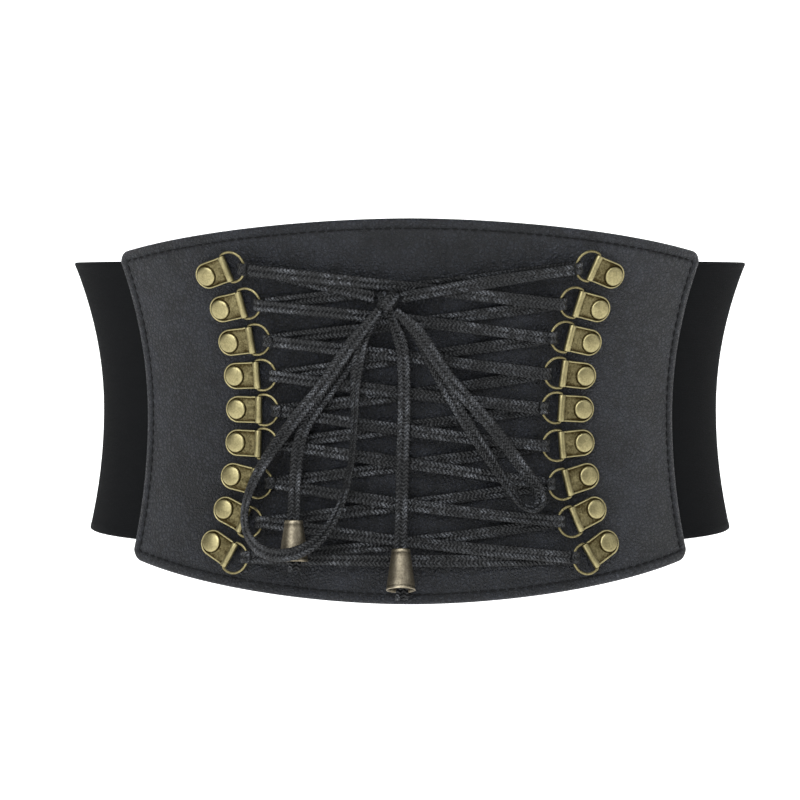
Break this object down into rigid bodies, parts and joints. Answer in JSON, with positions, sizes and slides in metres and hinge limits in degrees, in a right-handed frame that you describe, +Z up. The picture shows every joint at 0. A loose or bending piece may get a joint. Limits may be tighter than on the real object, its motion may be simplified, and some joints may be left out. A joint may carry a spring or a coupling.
{
  "type": "corset belt",
  "caption": "Wide laced corset belt: a curved leather-look front with D-ring hooks, lacing and a bow, and elastic bands that close at the back.",
  "frame": {"origin": "middle of the waist loop at the panel's mid height", "axes": "+Z up, the laced front faces -Y, +X is the viewer's right"},
  "size_m": [0.3018, 0.234, 0.1617],
  "materials": {
    "leather": "black imitation leather with a fine pebble grain, satin",
    "elastic": "matte black ribbed elastic",
    "brass": "antique brass, brushed and slightly darkened",
    "bronze": "antique bronze, dark, brighter on its edges",
    "lace": "flat waxed black lace with two ridges"
  },
  "bodies": {
    "root": {"panel": "leather", "elastic_left": "elastic", "elastic_right": "elastic", "back_closure": "leather", "hook_plate_left_1": "brass", "hook_plate_left_2": "brass", "hook_plate_left_3": "brass", "hook_plate_left_4": "brass", "hook_plate_left_5": "brass", "hook_plate_left_6": "brass", "hook_plate_left_7": "brass", "hook_plate_left_8": "brass", "hook_plate_left_9": "brass", "ring_left_1": "brass", "ring_left_2": "brass", "ring_left_3": "brass", "ring_left_4": "brass", "ring_left_5": "brass", "ring_left_6": "brass", "ring_left_7": "brass", "ring_left_8": "brass", "ring_left_9": "brass", "hook_plate_right_1": "brass", "hook_plate_right_2": "brass", "hook_plate_right_3": "brass", "hook_plate_right_4": "brass", "hook_plate_right_5": "brass", "hook_plate_right_6": "brass", "hook_plate_right_7": "brass", "hook_plate_right_8": "brass", "hook_plate_right_9": "brass", "ring_right_1": "brass", "ring_right_2": "brass", "ring_right_3": "brass", "ring_right_4": "brass", "ring_right_5": "brass", "ring_right_6": "brass", "ring_right_7": "brass", "ring_right_8": "brass", "ring_right_9": "brass", "lacing": "lace", "lace_knot": "lace", "bow_loop_left": "lace", "bow_loop_right": "lace", "lace_tail_left": "lace", "lace_tail_centre": "lace", "bell_left": "bronze", "bell_centre": "bronze", "end_knot_left": "lace", "end_knot_centre": "lace"}
  },
  "joints": []
}
